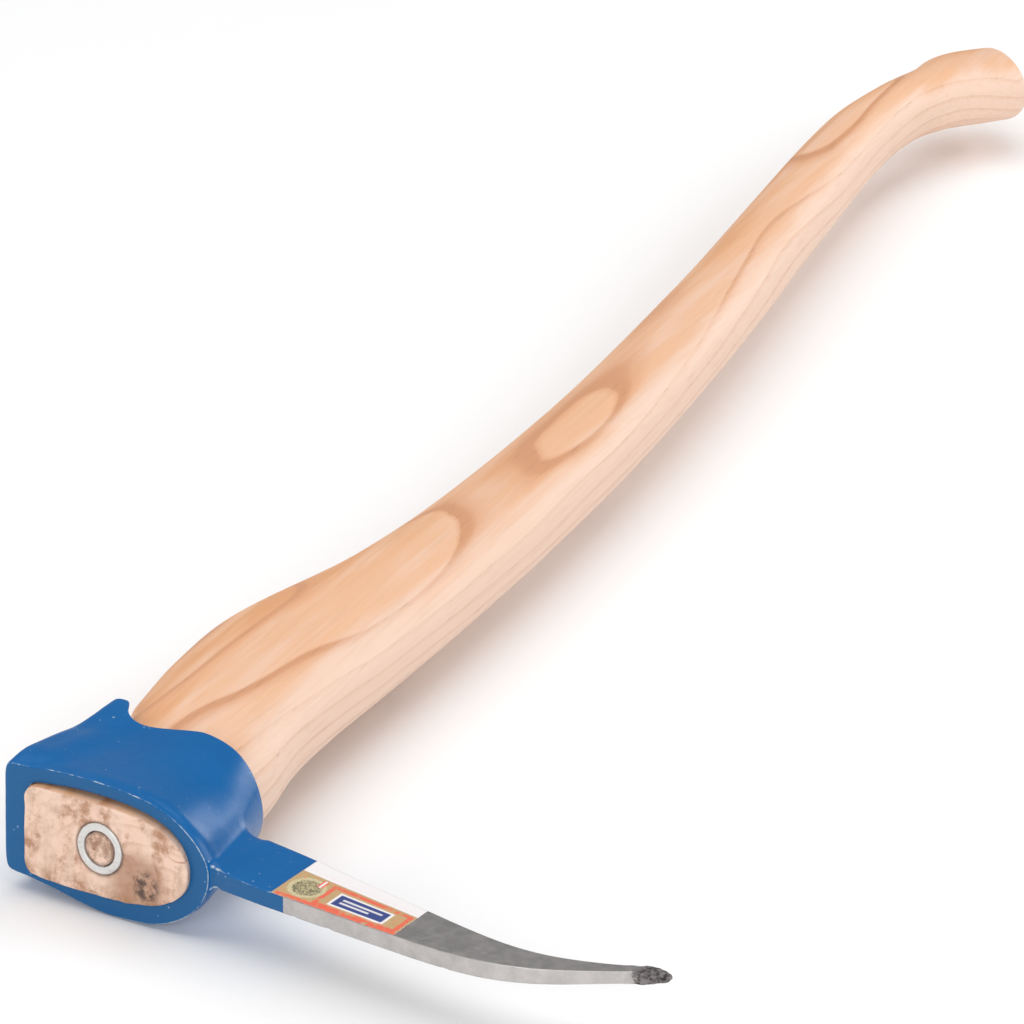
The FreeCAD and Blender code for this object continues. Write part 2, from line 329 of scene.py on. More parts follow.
class Bench:
    """A material's or a group's node tree, with short calls that place and join nodes."""

    def __init__(self, tree: bpy.types.NodeTree) -> None:
        """Starts on an empty tree."""
        self.tree = tree

    def node(self, kind: str, inputs: dict | None = None, **settings: object) -> bpy.types.Node:
        """Adds a node.

        Args:
            kind: the node's type name, without the ShaderNode in front.
            inputs: values or sockets for the node's inputs, by name or number.
            settings: the node's own properties.

        Returns:
            The node.
        """
        family = "Node" if kind in ("GroupInput", "GroupOutput") else "ShaderNode"
        made = self.tree.nodes.new(family + kind)
        for key, value in settings.items():
            setattr(made, key, value)
        self.feed(made, inputs or {})
        return made

    def feed(self, node: bpy.types.Node, inputs: dict) -> None:
        """Joins sockets to a node's inputs, or sets the inputs' values."""
        for key, value in inputs.items():
            if isinstance(value, bpy.types.NodeSocket):
                self.tree.links.new(value, node.inputs[key])
            else:
                node.inputs[key].default_value = value

    def maths(self, operation: str, first: object, second: object = 0.0,
              clamp: bool = False) -> Socket:
        """One step of arithmetic."""
        made = self.node("Math", {0: first, 1: second}, operation=operation, use_clamp=clamp)
        return made.outputs[0]

    def times(self, first: object, second: object, clamp: bool = False) -> Socket:
        """The product of two numbers."""
        return self.maths("MULTIPLY", first, second, clamp)

    def plus(self, first: object, second: object) -> Socket:
        """The sum of two numbers."""
        return self.maths("ADD", first, second)

    def minus(self, first: object, second: object, clamp: bool = False) -> Socket:
        """The first number less the second."""
        return self.maths("SUBTRACT", first, second, clamp)

    def length(self, x: Socket, y: Socket) -> Socket:
        """The length of a flat vector."""
        return self.maths("SQRT", self.plus(self.times(x, x), self.times(y, y)))

    def axes(self, vector: Socket) -> bpy.types.NodeOutputs:
        """A vector's three numbers, by X, Y and Z."""
        return self.node("SeparateXYZ", {"Vector": vector}).outputs

    def facing(self) -> bpy.types.NodeOutputs:
        """The surface's normal, by X, Y and Z."""
        return self.axes(self.node("NewGeometry").outputs["Normal"])

    def attribute(self, name: str) -> Socket:
        """A number written on the vertices."""
        return self.node("Attribute", attribute_name=name).outputs["Fac"]

    def scaled(self, place: Socket, scale: Place) -> Socket:
        """Coordinates, scaled."""
        return self.node("Mapping", {"Vector": place, "Scale": scale}).outputs[0]

    def step(self, value: object, low: float, high: float) -> Socket:
        """A smooth mask that goes from 0 at low to 1 at high."""
        made = self.node("MapRange", {"Value": value, "From Min": low, "From Max": high},
                         interpolation_type="SMOOTHSTEP")
        return made.outputs[0]

    def mix(self, mask: object, first: object, second: object) -> Socket:
        """Mixes two colours by a mask."""
        made = self.node("Mix", {0: mask, 6: paint(first), 7: paint(second)}, data_type="RGBA",
                         clamp_factor=True)
        return made.outputs[2]

    def fade(self, mask: object, first: object, second: object) -> Socket:
        """Mixes two numbers by a mask."""
        made = self.node("Mix", {0: mask, 2: first, 3: second}, data_type="FLOAT")
        return made.outputs[0]

    def clouds(self, place: Socket, scale: object, detail: float = 3.0,
               rough: float = 0.5, twist: float = 0.0) -> Socket:
        """Soft noise from 0 to 1."""
        made = self.node("TexNoise", {"Vector": place, "Scale": scale, "Detail": detail,
                                      "Roughness": rough, "Distortion": twist})
        return made.outputs[0]

    def specks(self, place: Socket, scale: float, size: float) -> Socket:
        """Small scattered dots: 1 on a dot and 0 between."""
        made = self.node("TexVoronoi", {"Vector": place, "Scale": scale, "Randomness": 1.0})
        return self.step(made.outputs["Distance"], size, size * 0.55)

    def placed(self, shift: Place = (0, 0, 0), turn: Place = (0, 0, 0),
               scale: Place = (1, 1, 1)) -> Socket:
        """Object coordinates, moved, turned and scaled."""
        spot = self.node("TexCoord").outputs["Object"]
        made = self.node("Mapping", {"Vector": spot, "Location": shift, "Rotation": turn})
        return made.outputs[0] if scale == (1, 1, 1) else self.scaled(made.outputs[0], scale)

    def bump(self, height: Socket, strength: float, distance: float,
             under: Socket | None = None) -> Socket:
        """A normal roughened by a height."""
        inputs = {"Height": height, "Strength": strength, "Distance": distance}
        if under is not None:
            inputs["Normal"] = under
        return self.node("Bump", inputs).outputs[0]


def paint(value: object) -> object:
    """A colour of three numbers gets an alpha; anything else passes through."""
    if isinstance(value, (tuple, list)) and len(value) == 3:
        return (*value, 1.0)
    return value


def new_material(name: str) -> tuple[bpy.types.Material, Bench, bpy.types.Node]:
    """An empty node material.

    Args:
        name: the material's name.

    Returns:
        The material, its bench and its Principled BSDF.
    """
    material = bpy.data.materials.new(name)
    material.use_nodes = True
    material.node_tree.nodes.clear()
    bench = Bench(material.node_tree)
    shader = bench.node("BsdfPrincipled")
    bench.node("OutputMaterial", {"Surface": shader.outputs[0]})
    return material, bench, shader


def dress(piece: bpy.types.Object, material: bpy.types.Material) -> None:
    """Gives a piece one material."""
    piece.data.materials.clear()
    piece.data.materials.append(material)


# --------------------------------------------------------------- shared effects


def new_group(name: str, inputs: dict[str, float],
              outputs: Iterable[str]) -> tuple[Bench, bpy.types.NodeOutputs]:
    """An empty node group that is given a place and some numbers.

    Args:
        name: the group's name.
        inputs: its numbers, with their usual values.
        outputs: the numbers that it gives back.

    Returns:
        The group's bench, and what the group is given.
    """
    tree = bpy.data.node_groups.new(name, "ShaderNodeTree")
    tree.interface.new_socket("Place", in_out="INPUT", socket_type="NodeSocketVector")
    for label, value in inputs.items():
        socket = tree.interface.new_socket(label, in_out="INPUT", socket_type="NodeSocketFloat")
        socket.default_value = value
    for label in outputs:
        tree.interface.new_socket(label, in_out="OUTPUT", socket_type="NodeSocketFloat")
    bench = Bench(tree)
    return bench, bench.node("GroupInput").outputs


def wear_group() -> bpy.types.NodeTree:
    """Builds the edge wear effect: a ragged mask where an edge has lost its coat; on the head the
    same mask also places a painted highlight along the edges.

    Returns:
        A group with the inputs Place, Edge, Amount and Grain, and the output Mask.
    """
    bench, given = new_group("edge_wear", {"Edge": 0.0, "Amount": 0.5, "Grain": 400.0},
                             ["Mask"])
    ragged = bench.clouds(given["Place"], given["Grain"], 4.0, 0.65)
    patchy = bench.clouds(given["Place"], 60.0, 2.0)
    level = bench.times(given["Edge"], bench.plus(ragged, patchy))
    start = bench.minus(1.05, given["Amount"])
    rise = bench.minus(level, start)
    bench.node("GroupOutput", {"Mask": bench.times(rise, WEAR_GAIN, clamp=True)})
    return bench.tree


def rings_group() -> bpy.types.NodeTree:
    """Builds the growth rings of a plank sawn beside the pith.

    Returns:
        A group with the inputs Place, Pitch and Wander, and the outputs Ring, a
        number that is 1 in the dense late wood, and Year, which differs by ring.
    """
    bench, given = new_group("growth_rings", {"Pitch": 0.004, "Wander": 0.01}, ["Ring", "Year"])
    place = given["Place"]
    drift = bench.clouds(bench.scaled(place, (12.0, 3.4, 12.0)), 1.0, 1.5, 0.4)
    ripple = bench.clouds(bench.scaled(place, (80.0, 17.0, 80.0)), 1.0, 2.0, 0.5)
    axes = bench.axes(place)
    # The pith lies 14 mm to the side of the eye's centre and 68 mm below it
    reach = bench.length(bench.minus(axes["X"], 0.014), bench.plus(axes["Z"], 0.068))
    wander = bench.times(bench.minus(drift, 0.5), given["Wander"])
    shake = bench.times(bench.minus(ripple, 0.5), bench.times(given["Wander"], 0.015))
    radius = bench.plus(reach, bench.plus(wander, shake))
    count = bench.maths("DIVIDE", radius, given["Pitch"])
    phase = bench.maths("FRACT", count)
    late = bench.times(bench.step(phase, 0.66, 0.92), bench.step(phase, 1.0, 0.94))
    year = bench.node("TexWhiteNoise", {"W": bench.maths("FLOOR", count)},
                      noise_dimensions="1D").outputs[0]
    bench.node("GroupOutput", {"Ring": late, "Year": year})
    return bench.tree


def grouped(bench: Bench, tree: bpy.types.NodeTree, inputs: dict) -> bpy.types.Node:
    """Places a shared effect in a material, with this material's own values."""
    made = bench.node("Group")
    made.node_tree = tree
    bench.feed(made, inputs)
    return made


# -------------------------------------------------------------------- finishes


@dataclass(frozen=True)
class ForgedSteelFinish:
    """Blue enamel on the forging, ground steel on the pick and scale on its point."""

    wear: bpy.types.NodeTree
    paint_end: float
    point_start: float
    rim_y: float
    enamel: Colour = (0.0008, 0.098, 0.31)
    # The front rim's face gets a greyer, darker blue: painted shade.
    enamel_rim_shade: Colour = (0.012, 0.100, 0.255)
    ground: Colour = (0.25, 0.242, 0.238)
    scale: Colour = (0.055, 0.045, 0.042)
    # The light blue-grey on outer edges is partly chipped paint and partly a painted highlight
    # along the edges.
    chip_and_highlight: Colour = (0.42, 0.50, 0.57)

    def material(self) -> bpy.types.Material:
        """Builds the material, in Object coordinates.

        Returns:
            The head's material.
        """
        material, bench, shader = new_material("forged_steel")
        place = bench.placed()
        axes, normal = bench.axes(place), bench.facing()
        coat = self.enamel_colour(bench, place, axes, normal)
        bare, grit = self.ground_colour(bench, place, normal)
        # Edge wear and painted highlight: a thin light line along outer edges, the front rim's
        # edge most of all, partly worn paint and partly a painted highlight.
        wear_and_highlight = grouped(bench, self.wear,
                        {"Place": place, "Edge": bench.attribute("edge"), "Amount": 0.12,
                         "Grain": 520.0}).outputs["Mask"]
        nicks = bench.specks(bench.placed(turn=(0.4, 0.2, 0.9)), 150.0, 0.10)
        rubbed = bench.times(nicks, bench.step(bench.clouds(place, 60.0), 0.52, 0.66))
        # This mask joins the scuffs with the edge wear and painted highlight.
        lost = bench.maths("MAXIMUM", wear_and_highlight, bench.times(rubbed, 0.75))
        painted = bench.mix(lost, coat, self.chip_and_highlight)
        ragged = bench.times(bench.clouds(place, 700.0, 4.0, 0.7), 0.0012)
        edge_on = bench.step(bench.maths("ABSOLUTE", normal["Z"]), 0.72, 0.5)
        border = bench.plus(axes["X"], bench.minus(ragged, bench.times(edge_on, 0.006)))
        shown = bench.step(border, self.paint_end + 0.0004, self.paint_end + 0.0011)
        steel = bench.mix(shown, painted, bare)
        forged = bench.plus(axes["X"], bench.times(bench.clouds(place, 260.0, 4.0, 0.7), 0.014))
        point = bench.step(forged, self.point_start + 0.008, self.point_start + 0.0105)
        flakes = bench.mix(bench.step(bench.clouds(place, 520.0, 4.0, 0.7), 0.38, 0.64),
                           (0.03, 0.024, 0.023), (0.34, 0.31, 0.31))
        colour = bench.mix(point, steel, bench.mix(0.75, self.scale, flakes))
        metal = bench.times(bench.times(shown, 0.75), bench.minus(1.0, bench.times(point, 0.5)))
        smudge = bench.clouds(place, 90.0, 4.0, 0.6)
        coat_rough = bench.fade(smudge, 0.20, 0.42)
        steel_rough = bench.fade(bench.clouds(place, 300.0, 3.0, 0.6), 0.42, 0.58)
        rough = bench.fade(shown, bench.fade(lost, coat_rough, 0.5), steel_rough)
        peel = bench.bump(bench.clouds(place, 420.0, 2.0, 0.5), 0.10, 0.0006)
        dents = bench.bump(bench.clouds(place, 75.0, 3.0, 0.55), 0.22, 0.0016, peel)
        scratched = bench.bump(bench.times(grit, shown), 0.16, 0.0003, dents)
        pitted = bench.bump(bench.times(bench.clouds(place, 650.0, 5.0, 0.7), point), 0.9,
                            0.0012, scratched)
        chipped = bench.bump(lost, -0.25, 0.0002, pitted)
        gloss = bench.times(bench.minus(1.0, shown), bench.minus(0.36, lost))
        bench.feed(shader,
                   {"Base Color": colour, "Metallic": metal, "Roughness": rough,
                    "Normal": chipped, "Coat Roughness": 0.24,
                    "Coat Weight": bench.maths("MAXIMUM", gloss, 0.0),
                    "Specular IOR Level": bench.fade(shown, 0.06, 0.5)})
        return material

    def enamel_colour(self, bench: Bench, place: Socket, axes: bpy.types.NodeOutputs,
                      normal: bpy.types.NodeOutputs) -> Socket:
        """The enamel: deep blue, mottled and dusty, with the front rim's face painted greyer and
        darker as painted shade.
        """
        tone = bench.mix(bench.clouds(place, 38.0, 4.0, 0.6), self.enamel, (0.002, 0.125, 0.37))
        # Painted shade: the forward-facing face of the front rim is painted a greyer, darker blue
        # than the cheek.
        flat = bench.step(bench.times(normal["Y"], -1.0), 0.72, 0.95)
        near = bench.step(axes["Y"], self.rim_y + 0.004, self.rim_y + 0.002)
        rim = bench.times(flat, near)
        toned = bench.mix(bench.times(rim, 0.85), tone, self.enamel_rim_shade)
        dust = bench.step(bench.clouds(place, 260.0, 5.0, 0.72), 0.58, 0.80)
        dusty = bench.mix(bench.times(dust, 0.08), toned, (0.30, 0.40, 0.50))
        drops = bench.specks(bench.placed(turn=(0.7, 0.1, 0.3)), 260.0, 0.13)
        sparse = bench.step(bench.clouds(place, 130.0, 1.0), 0.50, 0.64)
        return bench.mix(bench.times(bench.times(drops, sparse), 0.55), dusty,
                         (0.32, 0.45, 0.58))

    def ground_colour(self, bench: Bench, place: Socket,
                      normal: bpy.types.NodeOutputs) -> tuple[Socket, Socket]:
        """The ground steel's colour, with a painted highlight on the pick's thin faces, and the
        height of its grinding marks.
        """
        fine = bench.placed(scale=(260.0, 2600.0, 2600.0), turn=(0.0, 0.0, 0.16))
        grit = bench.clouds(fine, 1.0, 4.0, 0.6)
        blotch = bench.clouds(place, 150.0, 4.0, 0.65)
        # Painted highlight: the pick's thin faces get a much lighter steel than its sides, as if
        # lit by the front light.
        narrow = bench.step(bench.maths("ABSOLUTE", normal["Z"]), 0.72, 0.5)
        sides = bench.mix(bench.step(blotch, 0.3, 0.72), self.ground, (0.34, 0.325, 0.315))
        edges = bench.mix(bench.step(blotch, 0.3, 0.72), (0.62, 0.585, 0.57),
                          (0.50, 0.475, 0.46))
        tone = bench.mix(narrow, sides, edges)
        streaks = bench.mix(bench.times(grit, 0.28), tone, (0.24, 0.23, 0.22))
        stains = bench.step(bench.clouds(place, 60.0, 5.0, 0.7), 0.60, 0.74)
        warm = bench.mix(bench.times(stains, 0.25), streaks, (0.30, 0.25, 0.20))
        return warm, grit


@dataclass(frozen=True)
class AshFinish:
    """Pale ash, sanded, with orange late wood and a cut tenon end; its back is painted a darker
    orange as painted shade and its belly paler as painted light.
    """

    rings: bpy.types.NodeTree
    rim_y: float
    eye_x: float
    lean: Place = (0.0, 0.0, -0.20)
    # Painted shade: a darker orange for the handle's back.
    back_shade: Colour = (0.74, 0.365, 0.175)
    pale: Colour = (0.82, 0.475, 0.285)
    pink: Colour = (0.84, 0.55, 0.40)
    # Painted light: a paler tone for the handle's belly.
    belly_light: Colour = (0.85, 0.61, 0.48)
    warm: Colour = (0.70, 0.35, 0.185)
    late: Colour = (0.55, 0.24, 0.12)

    def material(self) -> bpy.types.Material:
        """Builds the material, in Object coordinates.

        Returns:
            The handle's material.
        """
        material, bench, shader = new_material("ash_wood")
        place = bench.placed(shift=(-self.eye_x, -self.rim_y, 0.0), turn=self.lean)
        spot = bench.placed()
        rings = grouped(bench, self.rings,
                        {"Place": place, "Pitch": 0.0062, "Wander": 0.036}).outputs
        fibre = bench.placed(turn=self.lean, scale=(700.0, 24.0, 700.0))
        strand = bench.clouds(fibre, 1.0, 4.0, 0.62)
        pore = bench.placed(turn=self.lean, scale=(1300.0, 60.0, 1300.0))
        pores = bench.step(bench.clouds(pore, 1.0, 2.0, 0.5), 0.60, 0.70)
        streaks = bench.clouds(bench.placed(turn=self.lean, scale=(110.0, 9.0, 110.0)), 1.0,
                               3.0, 0.55)
        # Painted shade and painted light by side: across runs from -1 at the back to 1 at the
        # belly; the back is painted darker orange and the belly paler.
        across = bench.plus(bench.attribute("across"),
                            bench.times(bench.minus(streaks, 0.5), 0.7))
        back = bench.mix(bench.step(streaks, 0.35, 0.65), self.back_shade, self.pale)
        middle = bench.mix(bench.step(streaks, 0.40, 0.70), self.pale, self.pink)
        base = bench.mix(bench.step(across, -0.70, -0.10), back, middle)
        base = bench.mix(bench.step(across, 0.35, 0.95), base, self.belly_light)
        quiet = bench.fade(bench.step(across, 0.40, 0.80), 1.0, 0.25)
        yearly = bench.times(rings["Ring"], bench.fade(rings["Year"], 0.55, 1.0))
        ringed = bench.mix(bench.times(yearly, quiet), base, self.warm)
        dark = bench.times(bench.step(rings["Ring"], 0.70, 1.0),
                           bench.times(bench.fade(rings["Year"], 0.15, 0.50), quiet))
        lined = bench.mix(dark, ringed, self.late)
        stranded = bench.mix(bench.times(bench.step(strand, 0.45, 0.75), 0.20), lined,
                             (0.62, 0.33, 0.17))
        pored = bench.mix(bench.times(pores, bench.times(rings["Ring"], 0.30)), stranded,
                          (0.34, 0.17, 0.085))
        cut = self.end_mask(bench, spot)
        end = self.end_colour(bench, spot, place, rings)
        sheen = bench.fade(bench.clouds(spot, 30.0, 3.0, 0.6), 0.44, 0.60)
        grain = bench.bump(strand, 0.10, 0.0005)
        raised = bench.bump(rings["Ring"], 0.12, 0.0006, grain)
        saw = bench.placed(turn=(0.0, 0.55, 0.0), scale=(700.0, 60.0, 90.0))
        marks = bench.times(bench.clouds(saw, 1.0, 4.0, 0.6), cut)
        bench.feed(shader,
                   {"Base Color": bench.mix(cut, pored, end),
                    "Roughness": bench.fade(cut, sheen, 0.85),
                    "Normal": bench.bump(marks, 0.55, 0.0008, raised)})
        return material

    def end_mask(self, bench: Bench, spot: Socket) -> Socket:
        """1 on the sawn end of the tenon, 0 elsewhere."""
        front = bench.step(bench.times(bench.facing()["Y"], -1.0), 0.25, 0.6)
        return bench.times(front,
                           bench.step(bench.axes(spot)["Y"], self.rim_y + 0.004,
                                      self.rim_y + 0.002))

    def end_colour(self, bench: Bench, spot: Socket, place: Socket,
                   rings: bpy.types.NodeOutputs) -> Socket:
        """End grain: pink tan, with saw marks, stains, a dirty patch and a thin dark band of
        painted shade just outside the ring wedge.
        """
        mottled = bench.mix(bench.step(bench.clouds(spot, 120.0, 5.0, 0.68), 0.42, 0.66),
                            (0.80, 0.56, 0.44), (0.42, 0.22, 0.13))
        ringed = bench.mix(bench.times(rings["Ring"], 0.25), mottled, (0.45, 0.25, 0.15))
        saw = bench.placed(turn=(0.0, -0.12, 0.0), scale=(130.0, 20.0, 16.0))
        cuts = bench.step(bench.clouds(saw, 1.0, 2.0, 0.5), 0.47, 0.60)
        sawn = bench.mix(bench.times(cuts, 0.55), ringed, (0.80, 0.60, 0.48))
        brown = self.spot_mask(bench, spot, (17.0, -10.0), 17.0)
        sawn = bench.mix(bench.times(brown, 0.70), sawn, (0.36, 0.18, 0.105))
        # Darker and patchy towards the bottom of the tenon's end.
        low = bench.step(bench.axes(spot)["Z"], -0.011, -0.0185)
        low_dark = bench.times(low, bench.step(bench.clouds(spot, 190.0, 4.0, 0.7), 0.36, 0.58))
        sawn = bench.mix(bench.times(low_dark, 0.70), sawn, (0.36, 0.18, 0.09))
        patch = self.spot_mask(bench, spot, (20.5, -10.0), 8.0)
        broken = bench.times(patch,
                             bench.step(bench.clouds(spot, 260.0, 4.0, 0.65), 0.40, 0.60))
        dirty = bench.mix(bench.times(broken, 0.88), sawn, (0.06, 0.035, 0.028))
        halo = self.spot_mask(bench, spot, (0.5, 0.0), 13.5)
        rust = bench.times(halo, bench.step(bench.clouds(spot, 240.0, 4.0, 0.7), 0.40, 0.62))
        rusty = bench.mix(bench.times(rust, 0.55), dirty, (0.22, 0.12, 0.075))
        # Painted shade: a thin dark band just outside the ring wedge, in place of the shadow in
        # the gap there.
        ring_gap_shade = bench.minus(self.spot_mask(bench, spot, (0.0, 0.0), 11.6),
                             self.spot_mask(bench, spot, (0.0, 0.0), 10.6), clamp=True)
        return bench.mix(bench.times(ring_gap_shade, 6.0, clamp=True), rusty, (0.10, 0.055, 0.04))

    def spot_mask(self, bench: Bench, spot: Socket, centre: tuple[float, float],
                  radius: float) -> Socket:
        """A soft round mask on the tenon's end, in millimetres from the eye's centre."""
        axes = bench.axes(spot)
        x = bench.minus(axes["X"], self.eye_x + centre[0] * MM)
        z = bench.minus(axes["Z"], centre[1] * MM)
        return bench.step(bench.length(x, z), radius * MM, radius * 0.45 * MM)


@dataclass(frozen=True)
class WedgeSteelFinish:
    """Cut mild steel, rubbed bright, with brown stain in its hollows."""

    wear: bpy.types.NodeTree
    bright: Colour = (0.80, 0.79, 0.77)
    stain: Colour = (0.20, 0.12, 0.075)

    def material(self) -> bpy.types.Material:
        """Builds the material, in Object coordinates.

        Returns:
            The ring wedge's material.
        """
        material, bench, shader = new_material("wedge_steel")
        place = bench.placed()
        tone = bench.mix(bench.clouds(place, 420.0, 4.0, 0.65), self.bright, (0.60, 0.59, 0.57))
        rubbed = grouped(bench, self.wear,
                         {"Place": place, "Edge": bench.attribute("edge"), "Amount": 0.5,
                          "Grain": 900.0}).outputs["Mask"]
        stained = bench.step(bench.clouds(place, 190.0, 5.0, 0.7), 0.55, 0.72)
        stains = bench.times(stained, bench.minus(1.0, rubbed))
        bench.feed(shader,
                   {"Base Color": bench.mix(bench.times(stains, 0.6), tone, self.stain),
                    "Metallic": bench.fade(stains, 0.55, 0.25),
                    "Roughness": bench.fade(bench.clouds(place, 600.0, 3.0, 0.6), 0.34, 0.6),
                    "Normal": bench.bump(bench.clouds(place, 800.0, 4.0, 0.6), 0.35, 0.0005)})
        return material


@dataclass(frozen=True)
class LabelFinish:
    """A printed sticker in its own coordinates: U along the pick, V across it."""

    white: Colour = (0.86, 0.82, 0.82)
    tan: Colour = (0.40, 0.27, 0.115)
    red: Colour = (0.78, 0.13, 0.07)
    blue: Colour = (0.025, 0.05, 0.22)

    def material(self) -> bpy.types.Material:
        """Builds the material, on the label's own UV map.

        Returns:
            The label's material.
        """
        material, bench, shader = new_material("printed_label")
        sheet = bench.node("UVMap", uv_map="print").outputs[0]
        axes = bench.axes(sheet)
        across, over = axes["X"], axes["Y"]
        place = bench.placed()
        worn = bench.clouds(place, 700.0, 5.0, 0.7)
        gold = bench.mix(bench.clouds(place, 520.0, 4.0, 0.7), self.tan, (0.60, 0.44, 0.22))
        field = bench.mix(bench.step(worn, 0.50, 0.62), gold, (0.66, 0.27, 0.13))
        body = self.box(bench, across, over, (0.0, 1.0), (0.0, 0.70))
        print_red = self.frame(bench, across, over, (0.30, 0.985), (0.06, 0.66), 0.075)
        smear = bench.step(bench.clouds(place, 330.0, 3.0, 0.6), 0.33, 0.46)
        layer = bench.mix(body, self.white, field)
        layer = bench.mix(bench.times(print_red, smear), layer, self.red)
        low = self.box(bench, across, over, (0.02, 1.0), (0.0, 0.075))
        layer = bench.mix(bench.times(low, smear), layer, self.red)
        layer = self.emblem(bench, across, over, layer)
        plate = self.box(bench, across, over, (0.395, 0.855), (0.165, 0.54))
        layer = bench.mix(plate, layer, self.white)
        panel = self.box(bench, across, over, (0.415, 0.835), (0.205, 0.50))
        layer = bench.mix(panel, layer, self.blue)
        for start, end, low in ((0.46, 0.79, 0.375), (0.46, 0.70, 0.285)):
            bar = self.box(bench, across, over, (start, end), (low, low + 0.045))
            layer = bench.mix(bench.times(bar, 0.85), layer, self.white)
        dotted = bench.scaled(sheet, (64.0, 22.0, 1.0))
        dots = bench.node("TexVoronoi",
                          {"Vector": dotted, "Scale": 1.0,
                           "Randomness": 0.35}).outputs["Distance"]
        band = self.box(bench, across, over, (0.06, 0.97), (0.76, 0.82))
        faint = bench.times(bench.step(dots, 0.34, 0.22), band)
        layer = bench.mix(bench.times(faint, 0.35), layer, (0.80, 0.35, 0.38))
        rubbed = bench.step(bench.clouds(place, 240.0, 5.0, 0.75), 0.66, 0.78)
        layer = bench.mix(bench.times(rubbed, 0.5), layer, (0.74, 0.70, 0.66))
        wrinkles = bench.bump(bench.clouds(place, 170.0, 3.0, 0.6), 0.25, 0.0006)
        bench.feed(shader,
                   {"Base Color": layer, "Roughness": bench.fade(worn, 0.30, 0.52),
                    "Normal": bench.bump(worn, 0.10, 0.0002, wrinkles)})
        return material

    def box(self, bench: Bench, across: Socket, over: Socket, wide: tuple[float, float],
            high: tuple[float, float]) -> Socket:
        """A rectangle on the sheet, as a mask with soft edges."""
        soft = 0.006
        left = bench.step(across, wide[0] - soft, wide[0] + soft)
        right = bench.step(across, wide[1] + soft, wide[1] - soft)
        low = bench.step(over, high[0] - 2.0 * soft, high[0] + 2.0 * soft)
        top = bench.step(over, high[1] + 2.0 * soft, high[1] - 2.0 * soft)
        return bench.times(bench.times(left, right), bench.times(low, top))

    def frame(self, bench: Bench, across: Socket, over: Socket, wide: tuple[float, float],
              high: tuple[float, float], band: float) -> Socket:
        """A rectangle's border, as a mask."""
        outer = self.box(bench, across, over, wide, high)
        inner = self.box(bench, across, over, (wide[0] + band * 0.45, wide[1] - band * 0.45),
                         (high[0] + band, high[1] - band))
        return bench.minus(outer, inner, clamp=True)

    def emblem(self, bench: Bench, across: Socket, over: Socket, under: Socket) -> Socket:
        """A plain round medal at the label's near end."""
        x = bench.times(bench.minus(across, 0.165), 1.95)
        y = bench.minus(over, 0.36)
        away = bench.length(x, y)
        disc = bench.step(away, 0.275, 0.262)
        ring = bench.times(bench.step(away, 0.20, 0.212), disc)
        leaf = bench.clouds(bench.node("CombineXYZ", {0: x, 1: y}).outputs[0], 26.0, 2.0, 0.6,
                            1.2)
        inlay = bench.mix(bench.step(leaf, 0.44, 0.56), (0.52, 0.44, 0.24), (0.16, 0.14, 0.08))
        layer = bench.mix(disc, under, inlay)
        layer = bench.mix(bench.times(ring, 0.7), layer, (0.70, 0.60, 0.36))
        stripe = self.box(bench, across, over, (0.205, 0.250), (0.47, 0.66))
        core = self.box(bench, across, over, (0.219, 0.236), (0.47, 0.66))
        layer = bench.mix(stripe, layer, self.red)
        return bench.mix(core, layer, self.white)


# ---------------------------------------------------------------- sub-assemblies


